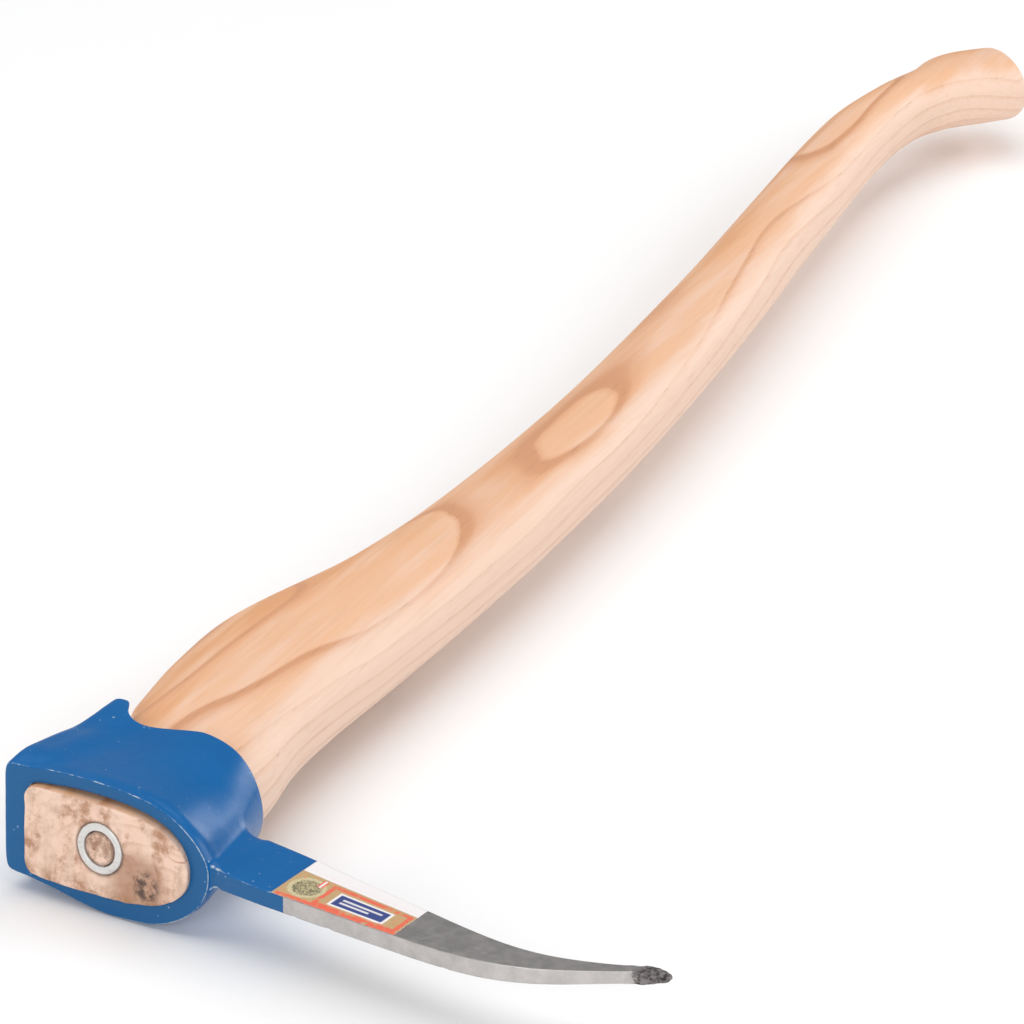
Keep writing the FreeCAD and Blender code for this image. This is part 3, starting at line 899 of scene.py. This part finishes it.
@dataclass
class HeadForging:
    """The forged head: eye, poll, wavy rear edge and curved pick."""

    datum: Datum
    poll: float = 45.0
    depth: float = 70.0
    nose: float = 47.0
    nose_lean: float = 19.5
    cheek: float = 25.2
    cheek_rear: float = 23.4
    waist: float = 1.8
    corner: float = 22.7
    eye_lean: float = 10.5
    eye_back_loss: float = 3.5
    eye_nose_loss: float = 2.8
    crease: float = 0.88
    lip_cut: float = 2.4
    lip_swell: float = 3.0
    eye_cut: float = 0.3
    eye_drop: float = 1.9
    paint_end: float = 76.6
    point_start: float = 218.0
    # Shares of the way to the rear edge where the skin has a loop, and the last at the pick
    skin: tuple[float, ...] = (0.026, 0.085, 0.17, 0.28, 0.40, 0.52, 0.615, 0.74, 0.88, 0.975,
                               1.0)
    root_end: float = 0.63
    # Depth of the rear edge behind the front rim, from the nose round to the poll
    rear: tuple[float, ...] = (56.0, 56.4, 57.6, 60.0, 62.6, 63.3, 61.4, 57.2, 55.0, 56.4,
                               60.6, 66.8, 67.5, 67.4, 67.3, 67.2, 67.0)
    # The eye's half outline at the front rim, from its narrow end to its flat end
    eye: tuple[tuple[float, float], ...] = (
        (38.6, 0.0), (38.2, 3.6), (36.2, 8.4), (31.6, 12.7), (25.0, 16.2), (15.0, 18.5),
        (1.0, 19.25), (-11.0, 19.3), (-20.0, 19.3), (-25.0, 19.25), (-28.5, 19.2),
        (-31.0, 18.8), (-33.2, 17.6), (-34.5, 15.4), (-35.0, 12.0), (-35.0, 6.5), (-35.0, 0.0))
    # Pick stations: x, outer edge, inner edge, half thickness at outer and inner edge
    pick: tuple[tuple[float, ...], ...] = (
        (50.0, 0.9, 30.6, 4.3, 5.2), (54.0, 0.1, 29.8, 3.65, 5.05),
        (60.0, -1.3, 28.9, 3.35, 5.0), (70.0, -2.7, 27.4, 3.3, 5.0),
        (90.0, -4.3, 22.9, 3.3, 4.95), (112.0, -6.2, 18.4, 3.3, 4.8),
        (132.0, -7.8, 14.4, 3.3, 4.7), (148.0, -8.8, 11.2, 3.3, 4.5),
        (162.0, -8.9, 8.9, 3.3, 4.3), (174.0, -7.5, 7.9, 3.3, 4.0),
        (187.0, -3.6, 9.1, 3.15, 3.5), (199.0, 3.0, 13.0, 2.85, 3.05),
        (210.0, 11.0, 17.9, 2.5, 2.6), (217.5, 16.3, 21.9, 2.35, 2.4),
        (221.0, 18.4, 23.9, 2.75, 2.7), (226.0, 21.1, 25.8, 2.4, 2.3),
        (229.6, 23.4, 26.2, 1.6, 1.5), (231.1, 24.7, 26.1, 0.8, 0.8))

    def outline(self, share: float) -> list[tuple[float, float]]:
        """Half the head's outline, from the nose round to the middle of the poll.

        Args:
            share: depth behind the front rim, from 0 to 1 at the full depth.

        Returns:
            X and Z of each cage point, in millimetres.
        """
        waist = self.waist * math.sin(math.pi * share) ** 2
        cheek = self.cheek - (self.cheek - self.cheek_rear) * share - waist
        hump = 2.7 * blend(0.0, 0.16, share) * (1.0 - 0.7 * blend(0.42, 0.66, share))
        corner = self.corner - waist + hump + 0.9 * blend(0.62, 0.97, share)
        nose = self.nose - self.nose_lean * share ** 1.3
        tuck = 1.4 * blend(0.45, 0.8, share)
        full = 1.6 * blend(0.25, 0.75, share)
        back = -self.poll
        return [(nose + 0.2 - tuck, 0.0), (nose - 0.3 - tuck, 4.2), (nose - 3.9, 10.2),
                (nose - 10.4 + full, cheek - 9.0 + full), (nose - 18.6 + full, cheek - 4.3 + full),
                (nose - 29.0, cheek - 1.3 + 0.4 * full), (-2.0, cheek), (-12.0, cheek - 0.1),
                (-22.0, cheek - 0.6), (-29.0, max(cheek - 1.2, corner + 0.4)),
                (-33.4, corner + 0.6), (-36.4, corner + 0.3), (-39.2, corner + 0.2),
                (back + 1.9, corner), (back, corner - 1.9), (back, 11.0), (back, 0.0)]

    def loop(self, half: Sequence[tuple[float, float]], depths: Sequence[float],
             cut: float = 0.0, drop: float = 0.0, swell: float = 0.0) -> list[Vector]:
        """A whole loop from one half outline.

        Args:
            half: X and Z of the upper points.
            depths: the depth of each point.
            cut: how much nearer the lower side is, towards the poll.
            drop: how much nearer the upper side is, towards the poll.
            swell: how much fuller the lower side is, towards the nose.

        Returns:
            The loop's places, over the top and back underneath.
        """
        rows = list(zip(half, depths))
        upper = [self.datum.at(x, y, max(0.0, z - drop * blend(-12.0, -30.0, x)
                                         * min(1.0, z / 9)))
                 for (x, z), y in rows]
        lower = [self.datum.at(x, y, (cut * blend(0.0, -34.0, x) - swell * blend(-24.0, 12.0, x))
                               * min(1.0, z / 9.0) - z)
                 for (x, z), y in reversed(rows[1:-1])]
        return upper + lower

    def outer_loop(self, share: float) -> list[Vector]:
        """The outside at a share of the way from the front rim to the rear edge."""
        depths = [share * rear for rear in self.rear]
        half = []
        for index, depth in enumerate(depths):
            x, z = self.outline(depth / self.depth)[index]
            ridge = 0.55 * math.exp(-((depth - 5.5) / 1.9) ** 2) - 0.55 * math.exp(
                -((depth - 2.6) / 1.4) ** 2)
            round_nose = 1.0 - blend(0.0, 7.0, float(abs(index - 4)))
            push = ridge * round_nose
            half.append((x + push, z + push))
        front = 1.0 - blend(0.0, 0.9, share)
        return self.loop(half, depths, cut=self.lip_cut * front, swell=self.lip_swell * front)

    def eye_loop(self, depth: float, grow: float = 0.0) -> list[Vector]:
        """The eye's wall at one depth."""
        share = depth / self.depth
        half = []
        for x, z in self.eye:
            loss = self.eye_nose_loss if x > 0.0 else self.eye_back_loss
            reach = abs(x) / 35.0
            wide = x - math.copysign(loss * share * reach - grow * reach, x)
            half.append((wide - self.eye_lean * share, z * (1.0 + grow / 19.0)))
        front = 1.0 - blend(0.0, 0.5, share)
        return self.loop(half, [depth] * len(half), cut=self.eye_cut * front,
                         drop=self.eye_drop * front)

    def mouth_loop(self, inset: float) -> list[Vector]:
        """A loop on the front rim, a share of the way from the outside to the eye."""
        outer, inner = self.outer_loop(0.0), self.eye_loop(0.0, 0.8)
        return [a.lerp(b, inset) for a, b in zip(outer, inner)]

    def build_body(self, bm: bmesh.types.BMesh) -> list[list[bmesh.types.BMVert]]:
        """Makes the cage of the head without its pick.

        Args:
            bm: the mesh that gets the cage.

        Returns:
            The outside loops that the pick's root spans, from front to rear.
        """
        first = new_ring(bm, self.outer_loop(0.0))
        ring, root = first, []
        for share in self.skin:
            ring = grow(bm, ring, self.outer_loop(share))
            if share < self.root_end:
                root.append(ring)
        inner = self.slanted_eye_loop(1.0)
        loops = [[a.lerp(b, 0.5) for a, b in zip(self.outer_loop(1.0), inner)], inner]
        loops += [self.slanted_eye_loop(share) for share in (0.97, 0.75, 0.5, 0.25)]
        loops += [self.eye_loop(1.6), self.eye_loop(0.7, 0.25)]
        loops += [self.mouth_loop(inset) for inset in (0.97, 0.5, 0.2)]
        for loop in loops:
            ring = grow(bm, ring, loop)
        bmesh.ops.bridge_loops(bm, edges=ring_edges(ring) + ring_edges(first))
        return root

    def slanted_eye_loop(self, share: float) -> list[Vector]:
        """The eye's wall at a share of the rear edge's depth, which differs by point."""
        return [self.eye_loop(depth * share)[index]
                for index, depth in enumerate(self.rear_depths())]

    def rear_depths(self) -> list[float]:
        """The rear edge's depth at every point of a whole loop."""
        return list(self.rear) + list(reversed(self.rear[1:-1]))

    def build_pick(self, bm: bmesh.types.BMesh,
                   root: Sequence[Sequence[bmesh.types.BMVert]]) -> None:
        """Pulls the pick out of the nose, station by station.

        Args:
            bm: the head's cage.
            root: the outside loops that the root spans, from front to rear.
        """
        grid = {(row, side): ring[side] for row, ring in enumerate(root) for side in (-1, 0, 1)}
        patch = self.patch_faces(bm, grid)
        rows = len(root) - 1
        sharp = []
        for number, station in enumerate(self.pick):
            before = {key: vertex.co.copy() for key, vertex in grid.items()}
            lines = {edge for face in patch for edge in face.edges}
            made = bmesh.ops.extrude_face_region(bm, geom=patch + list(lines)
                                                 + list(grid.values()))
            patch = [item for item in made["geom"] if isinstance(item, bmesh.types.BMFace)]
            fresh = [item for item in made["geom"] if isinstance(item, bmesh.types.BMVert)]
            moved = {key: min(fresh, key=lambda v, old=old: (v.co - old).length_squared)
                     for key, old in before.items()}
            x, outer, inner, half_outer, half_inner = station
            for (row, side), vertex in moved.items():
                share = row / rows
                half = half_outer + (half_inner - half_outer) * share
                vertex.co = self.datum.at(x, outer + (inner - outer) * share, side * half)
            if number > 0:
                for key in ((0, -1), (0, 1), (rows, -1), (rows, 1)):
                    sharp += [e for e in moved[key].link_edges if e.other_vert(moved[key])
                              is grid[key]]
            grid = moved
        creased(bm, sharp, self.crease)

    def patch_faces(self, bm: bmesh.types.BMesh, grid: dict) -> list[bmesh.types.BMFace]:
        """The faces that the pick grows from."""
        inside = set(grid.values())
        return [face for face in bm.faces if all(vertex in inside for vertex in face.verts)]

    def forge(self, place: Vector, normal: Vector) -> Vector:
        """The forging's own unevenness: hammered flats and small nicks on the pick's edges."""
        point = self.datum.local(place)
        wave = noise.noise(place * 38.0) * 0.16 + noise.noise(place * 95.0) * 0.06
        on_pick = blend(60.0, 76.0, point.x)
        tip = blend(213.0, 220.0, point.x)
        amount = wave * (1.0 - 0.75 * on_pick)
        knocks = max(0.0, noise.noise(place * 420.0) - 0.28) * 1.1
        corner = 1.0 - blend(0.0, 0.9, abs(abs(point.z) - 3.3)) if point.y < 0.0 else 0.0
        amount -= knocks * corner * on_pick * (1.0 - tip) * 0.7
        lumps = noise.noise(place * 260.0) * 0.42 + noise.noise(place * 620.0) * 0.20
        amount += lumps * tip
        return normal * (amount * MM)

    def build(self, finish: ForgedSteelFinish) -> bpy.types.Object:
        """Makes, finishes and mounts the head.

        Args:
            finish: the head's finish.

        Returns:
            The head.
        """
        bm = bmesh.new()
        bm.edges.layers.float.new("crease_edge")
        self.build_pick(bm, self.build_body(bm))
        bmesh.ops.recalc_face_normals(bm, faces=bm.faces)
        head = as_object(bm, "head_forging")
        subdivide(head, Detail.FINE)
        roughen(head, self.forge)
        mark_wear(head, "edge")
        dress(head, finish.material())
        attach(head, "root")
        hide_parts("head")
        return head


@dataclass
class AshHandle:
    """The handle: tenon, belly, shaft and knob, carved from one piece."""

    datum: Datum
    proud: float = 2.5
    edge: float = 1.0
    points: int = 96
    step: float = 6.0
    # Stations: y behind the front rim, x, turn, back, belly, half thickness, squareness
    stations: tuple[tuple[float, ...], ...] = (
        (-2.5, 0.4, 0.0, 34.9, 38.7, 18.35, 9.0, 2.35),
        (35.0, -5.25, 0.0, 33.0, 37.2, 19.2, 8.0, 2.35),
        (70.0, -10.5, 0.0, 31.0, 34.4, 19.0, 5.0, 2.35),
        (96.0, -20.5, -16.0, 32.6, 32.8, 19.0, 3.2, 2.4),
        (136.0, -31.5, -13.0, 35.0, 34.5, 18.54, 2.8, 2.4),
        (182.0, -38.0, -8.0, 37.6, 33.6, 17.82, 2.7, 2.4),
        (252.0, -45.5, -7.0, 25.8, 29.4, 16.56, 2.6, 2.4),
        (332.0, -56.0, -10.0, 23.6, 24.0, 15.66, 2.5, 2.4),
        (442.0, -79.0, -14.0, 20.8, 20.8, 14.76, 2.5, 2.4),
        (552.0, -108.0, -16.0, 18.6, 18.1, 14.22, 2.4, 2.3),
        (662.0, -141.0, -17.5, 16.4, 15.6, 13.86, 2.3, 2.3),
        (752.0, -168.0, -13.0, 14.0, 15.2, 13.5, 2.2, 2.2),
        (794.0, -174.0, -1.0, 11.8, 15.0, 12.96, 2.2, 2.2),
        (816.0, -171.0, 15.0, 14.6, 16.5, 13.14, 2.2, 2.2),
        (825.5, -168.2, 23.0, 21.8, 18.4, 13.5, 2.2, 2.2),
        (834.0, -164.5, 30.0, 25.2, 20.0, 13.7, 2.2, 2.2),
        (847.0, -157.0, 36.0, 24.3, 20.6, 13.5, 2.2, 2.2))
    knob_round: float = 7.0
    # How much lower the tenon's end sits than the middle of the eye
    sag: float = 0.9

    def section(self, station: Sequence[float], shrink: float = 0.0,
                rise: float = 0.0) -> list[Vector]:
        """One closed section of the handle.

        Args:
            station: y, x, turn, back, belly, half thickness and squareness.
            shrink: how much smaller than the station, in millimetres.
            rise: how far beyond the station, along the handle.

        Returns:
            The section's points, from the belly round over the top.
        """
        y, x, turn, back, belly, half, square_back, square_belly = station
        lean = math.radians(turn)
        sag = self.sag * (1.0 - blend(0.0, 30.0, y))
        places = []
        for number in range(self.points):
            angle = 2.0 * math.pi * number / self.points
            cosine, sine = math.cos(angle), math.sin(angle)
            ahead = cosine > 0.0
            power = 2.0 / (square_belly if ahead else square_back)
            reach = (belly if ahead else back) - shrink
            u = math.copysign(abs(cosine) ** power * reach, cosine)
            v = math.copysign(abs(sine) ** power * (half - shrink), sine)
            places.append(self.datum.at(x + u * math.cos(lean) + rise * math.sin(lean),
                                        y - u * math.sin(lean) + rise * math.cos(lean),
                                        v - sag))
        return places

    def build_skin(self, bm: bmesh.types.BMesh) -> None:
        """Grows the whole handle from the tenon's end to the knob's."""
        first = self.stations[0]
        ring = new_ring(bm, self.section(first, self.edge, 0.0))
        face_ring = ring
        for shrink, rise in ((0.45, 0.12), (0.15, 0.45), (0.0, 1.0)):
            ring = grow(bm, ring, self.section(first, shrink * self.edge, rise))
        reach = first[0] + 3.5
        while reach < self.stations[-1][0] - 2.0:
            ring = grow(bm, ring, self.section(along(self.stations, reach)))
            reach += self.step if 4.0 < reach < 800.0 else 3.0
        last = self.stations[-1]
        for degrees in (0.0, 15.0, 30.0, 45.0, 60.0, 75.0, 90.0):
            turn = math.radians(degrees)
            loss = self.knob_round * (1.0 - math.cos(turn))
            ring = grow(bm, ring, self.section(last, loss, self.knob_round * math.sin(turn)))
        self.close(bm, ring)
        self.close(bm, face_ring)

    def close(self, bm: bmesh.types.BMesh, ring: Sequence[bmesh.types.BMVert]) -> None:
        """Fills an end with loops that shrink to its middle."""
        middle = sum((vertex.co for vertex in ring), Vector()) / len(ring)
        edge = [vertex.co.copy() for vertex in ring]
        for share in (0.04, 0.10, 0.18, 0.28, 0.40, 0.52, 0.64, 0.76, 0.88):
            ring = grow(bm, ring, [p.lerp(middle, share) for p in edge])
        bmesh.ops.contextual_create(bm, geom=ring_edges(ring))

    def carving(self, place: Vector, normal: Vector) -> Vector:
        """The hand finish: slow unevenness along the grain and a rippled tenon end."""
        slow = noise.noise(Vector((place.x * 16.0, place.y * 7.0, place.z * 16.0))) * 0.45
        fine = noise.noise(Vector((place.x * 70.0, place.y * 14.0, place.z * 70.0))) * 0.10
        free = blend(72.0, 95.0, self.datum.local(place).y)
        amount = (slow + fine) * free
        if self.datum.local(place).y < -1.5:
            amount += noise.noise(place * 330.0) * 0.35 + noise.noise(place * 110.0) * 0.30
        return normal * (amount * MM)

    def mark_across(self, piece: bpy.types.Object) -> None:
        """Writes a vertex attribute that runs from -1 at the back to 1 at the belly."""
        values = []
        for vertex in piece.data.vertices:
            point = self.datum.local(vertex.co)
            reach = min(self.stations[-1][0], max(self.stations[0][0], point.y))
            _, x, _, back, belly, *_ = along(self.stations, reach)
            values.append((point.x - x) / (belly if point.x > x else back))
        layer = piece.data.attributes.new("across", "FLOAT", "POINT")
        layer.data.foreach_set("value", values)

    def slot_cutter(self) -> bpy.types.Object:
        """The tapered tube that the ring wedge leaves in the tenon's end."""
        inside, mouth = RING_INNER - 0.45, RING_OUTER + 0.12
        start, end = -self.proud - 2.0, RING_DEPTH - self.proud
        bm = turned(self.datum, ((inside, start), (mouth, start), (mouth, -self.proud + 0.4),
                                 (RING_OUTER - 2.2, end), (inside, end)), 96)
        bmesh.ops.recalc_face_normals(bm, faces=bm.faces)
        return as_object(bm, "slot_cutter")

    def crack_cutter(self, start: Place, end: Place, width: float,
                     depth: float) -> bpy.types.Object:
        """A thin crooked wedge, for a drying crack in the end grain.

        Args:
            start: the crack's mouth at the tenon's edge, in millimetres.
            end: where it dies out.
            width: its width at the mouth.
            depth: its depth at the mouth.

        Returns:
            The cutter.
        """
        bm = bmesh.new()
        bmesh.ops.create_grid(bm, x_segments=14, y_segments=1, size=0.5)
        for vertex in bm.verts:
            share = vertex.co.x + 0.5
            x = start[0] + (end[0] - start[0]) * share
            z = start[2] + (end[2] - start[2]) * share + 0.45 * math.sin(share * 9.0)
            open_half = width * (1.0 - share) ** 0.7 * 0.5 + 0.01
            side = math.copysign(open_half, vertex.co.y)
            vertex.co = self.datum.at(x, -self.proud - 1.0, z + side)
        made = bmesh.ops.extrude_face_region(bm, geom=bm.faces[:], use_keep_orig=True)
        for item in made["geom"]:
            if isinstance(item, bmesh.types.BMVert):
                point = self.datum.local(item.co)
                share = (point.x - start[0]) / (end[0] - start[0])
                reach = 1.0 + depth * (1.0 - 0.8 * share)
                item.co.y += reach * MM
        bmesh.ops.recalc_face_normals(bm, faces=bm.faces)
        return as_object(bm, "crack_cutter")

    def build(self, finish: AshFinish) -> bpy.types.Object:
        """Makes, finishes and mounts the handle.

        Args:
            finish: the wood's finish.

        Returns:
            The handle.
        """
        bm = bmesh.new()
        self.build_skin(bm)
        bmesh.ops.recalc_face_normals(bm, faces=bm.faces)
        handle = as_object(bm, "ash_handle")
        subdivide(handle, Detail.PLAIN)
        roughen(handle, self.carving)
        carve(handle, self.slot_cutter())
        carve(handle, self.crack_cutter((39.5, 0.0, 3.6), (29.5, 0.0, 4.6), 0.75, 4.5))
        carve(handle, self.crack_cutter((38.0, 0.0, 8.3), (31.5, 0.0, 9.6), 0.5, 3.0))
        self.mark_across(handle)
        dress(handle, finish.material())
        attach(handle, "root")
        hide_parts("handle")
        return handle


@dataclass
class RingWedge:
    """The steel ring driven into the tenon's end."""

    datum: Datum
    outer: float = RING_OUTER
    inner: float = RING_INNER
    length: float = RING_DEPTH
    taper: float = 2.2
    front: float = -RING_PROUD

    def dents(self, place: Vector, normal: Vector) -> Vector:
        """Hammer marks on the ring's visible end."""
        amount = noise.noise(place * 330.0) * 0.10 + noise.noise(place * 900.0) * 0.04
        return normal * (amount * MM)

    def build(self, finish: WedgeSteelFinish) -> bpy.types.Object:
        """Makes, finishes and mounts the ring wedge.

        Args:
            finish: the ring's finish.

        Returns:
            The ring wedge.
        """
        end = self.front + self.length
        bm = turned(self.datum, (
            (self.inner + 0.35, self.front), (self.outer - 0.45, self.front),
            (self.outer, self.front + 0.55), (self.outer - 0.35, self.front + 4.0),
            (self.outer - self.taper, end), (self.inner, end),
            (self.inner, self.front + 4.0), (self.inner, self.front + 0.5)), 64)
        rims = [e for e in bm.edges if e.is_manifold and e.calc_face_angle(0.0) > 0.5]
        bmesh.ops.bevel(bm, geom=rims, offset=0.22 * MM, segments=2, profile=0.5,
                        affect="EDGES", material=-1)
        bmesh.ops.recalc_face_normals(bm, faces=bm.faces)
        ring = as_object(bm, "ring_wedge_steel")
        subdivide(ring, Detail.PLAIN)
        roughen(ring, self.dents)
        mark_wear(ring, "edge", 1)
        dress(ring, finish.material())
        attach(ring, "root")
        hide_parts("ring_wedge")
        return ring


@dataclass
class PickLabel:
    """The sticker on the pick's upper side."""

    datum: Datum
    start: float = 77.0
    length: float = 57.0
    margin: float = 0.25
    lift: float = 0.05
    thick: float = 0.10

    def build(self, head: bpy.types.Object, pick: Sequence[Sequence[float]],
              finish: LabelFinish) -> bpy.types.Object:
        """Makes the sticker and presses it onto the pick.

        Args:
            head: the forging that it is stuck to.
            pick: the pick's stations, which give its edges.
            finish: the print.

        Returns:
            The label.
        """
        tree = BVHTree.FromObject(head, bpy.context.evaluated_depsgraph_get())
        bm = bmesh.new()
        made = bmesh.ops.create_grid(bm, x_segments=150, y_segments=60, size=0.5)
        print_map = bm.loops.layers.uv.new("print")
        spots = {vertex: (vertex.co.x + 0.5, vertex.co.y + 0.5) for vertex in made["verts"]}
        for face in bm.faces:
            for corner in face.loops:
                corner[print_map].uv = spots[corner.vert]
        for vertex, (u, v) in spots.items():
            vertex.co = self.pressed(tree, pick, u, v)
        bmesh.ops.solidify(bm, geom=bm.faces[:], thickness=-self.thick * MM)
        bmesh.ops.recalc_face_normals(bm, faces=bm.faces)
        label = as_object(bm, "pick_label")
        dress(label, finish.material())
        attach(label, "root")
        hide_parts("label")
        return label

    def pressed(self, tree: BVHTree, pick: Sequence[Sequence[float]], u: float,
                v: float) -> Vector:
        """Where one point of the sticker lies on the pick."""
        ragged = 0.35 * noise.noise(Vector((0.0, v * 9.0, 3.0))) * (1.0 if u > 0.5 else 0.4)
        x = self.start + self.length * u + ragged * (1.0 if u in (0.0, 1.0) else 0.0)
        station = along(pick, x)
        low, high = station[1] + self.margin, station[2] - self.margin
        fringe = 0.30 * noise.noise(Vector((u * 34.0, 7.0, 0.0))) if v == 0.0 else 0.0
        y = low + (high - low) * v + fringe
        above = self.datum.at(x, y, 30.0)
        hit, normal, _, _ = tree.ray_cast(above, Vector((0.0, 0.0, -1.0)))
        if hit is None:
            return self.datum.at(x, y, 5.0)
        bubble = max(0.0, noise.noise(Vector((u * 11.0, v * 5.0, 1.0))) - 0.2) * 0.12
        return hit + normal * ((self.lift + bubble) * MM)


@dataclass
class Studio:
    """The floor, the lights and the camera."""

    azimuth: float = 34.6
    elevation: float = 22.74
    roll: float = 0.29
    distance: float = 4.639
    lens: float = 421.9
    aim_from_poll: Place = (-0.0129, 0.3114, 0.0)
    floor_colour: Colour = (0.93, 0.93, 0.93)
    surround: float = 0.28

    def back(self) -> Vector:
        """The direction from the aim to the camera."""
        a, e = math.radians(self.azimuth), math.radians(self.elevation)
        return Vector((math.sin(a) * math.cos(e), -math.cos(a) * math.cos(e), math.sin(e)))

    def add_camera(self) -> None:
        """Places the camera that the scene is seen through."""
        data = bpy.data.cameras.new("camera")
        data.lens = self.lens
        data.sensor_width = 36.0
        data.clip_start, data.clip_end = 0.1, 200.0
        camera = bpy.data.objects.new("camera", data)
        turn = (-self.back()).to_track_quat("-Z", "Y").to_matrix().to_4x4()
        tilt = Matrix.Rotation(math.radians(self.roll), 4, "Z")
        camera.matrix_world = (Matrix.Translation(Vector(self.aim_from_poll)
                                                  + self.back() * self.distance) @ turn @ tilt)
        bpy.context.scene.collection.objects.link(camera)
        bpy.context.scene.camera = camera

    def add_floor(self, height: float) -> None:
        """Lays a plain pale floor under the tool.

        Args:
            height: the floor's height, in metres.
        """
        bm = bmesh.new()
        bmesh.ops.create_circle(bm, cap_ends=True, segments=96, radius=60.0)
        bmesh.ops.translate(bm, verts=bm.verts, vec=(0.0, 0.0, height))
        floor = as_object(bm, "floor")
        material, bench, shader = new_material("pale_floor")
        place = bench.placed()
        shade = bench.mix(bench.clouds(place, 3.0, 2.0), self.floor_colour,
                          (0.915, 0.915, 0.92))
        bench.feed(shader, {"Base Color": shade, "Roughness": 0.9, "Specular IOR Level": 0.1})
        dress(floor, material)
        floor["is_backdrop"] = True

    def add_light(self, name: str, place: Place, aim: Place, size: tuple[float, float],
                  power: float) -> None:
        """Hangs one soft box.

        Args:
            name: the light's name.
            place: where it hangs, in metres.
            aim: the point it faces.
            size: its width and height.
            power: its power in watts.
        """
        data = bpy.data.lights.new(name, "AREA")
        data.shape = "RECTANGLE"
        data.size, data.size_y = size
        data.energy = power
        light = bpy.data.objects.new(name, data)
        light.location = place
        direction = Vector(aim) - Vector(place)
        light.rotation_euler = direction.to_track_quat("-Z", "Y").to_euler()
        light.visible_camera = False
        bpy.context.scene.collection.objects.link(light)

    def add_lights(self) -> None:
        """Hangs the soft boxes in an even, dim surround."""
        world = bpy.data.worlds.new("surround")
        world.use_nodes = True
        Bench(world.node_tree).feed(world.node_tree.nodes["Background"],
                                    {0: (1.0, 1.0, 1.0, 1.0), 1: self.surround})
        bpy.context.scene.world = world
        bpy.context.scene.view_settings.view_transform = "Standard"
        self.add_light("overhead", (-0.3, 0.2, 2.2), (0.0, 0.3, 0.0), (3.0, 3.0), 40.0)
        self.add_light("front", (0.9, -2.3, 0.9), (0.0, 0.2, 0.0), (2.2, 1.2), 35.0)
        self.add_light("right", (1.8, 1.4, 1.35), (0.0, 0.3, 0.0), (1.3, 1.0), 17.0)
        self.add_light("left", (-2.2, -0.6, 1.0), (0.0, 0.3, 0.0), (1.2, 1.0), 9.0)
        self.add_light("behind", (0.2, 2.2, 0.63), (0.0, 0.0, 0.0), (0.6, 1.0), 7.0)


# ------------------------------------------------------------------------ main


def main() -> None:
    """Builds the tool piece by piece, then the studio around it."""
    logging.basicConfig(level=logging.INFO, format="%(name)s: %(message)s")
    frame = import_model()
    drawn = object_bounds()
    log.info("the frame holds %s", ", ".join(sorted(frame["nodes"])))
    studio = Studio()
    studio.add_camera()
    datum = find_datum(proud=RING_PROUD)
    wear, rings = wear_group(), rings_group()
    forging = HeadForging(datum)
    head = forging.build(ForgedSteelFinish(
        wear, paint_end=datum.at(forging.paint_end, 0).x,
        point_start=datum.at(forging.point_start, 0).x, rim_y=datum.rim_y))
    handle = AshHandle(datum).build(AshFinish(rings, datum.rim_y, datum.eye_x))
    ring = RingWedge(datum).build(WedgeSteelFinish(wear))
    label = PickLabel(datum).build(head, forging.pick, LabelFinish())
    for piece in (head, handle, ring, label):
        log.info("%s: %d faces", piece.name, len(piece.data.polygons))
    studio.add_floor(min(drawn[0].z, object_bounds()[0].z) - FLOOR_GAP)
    studio.add_lights()


if __name__ == "__main__":
    main()
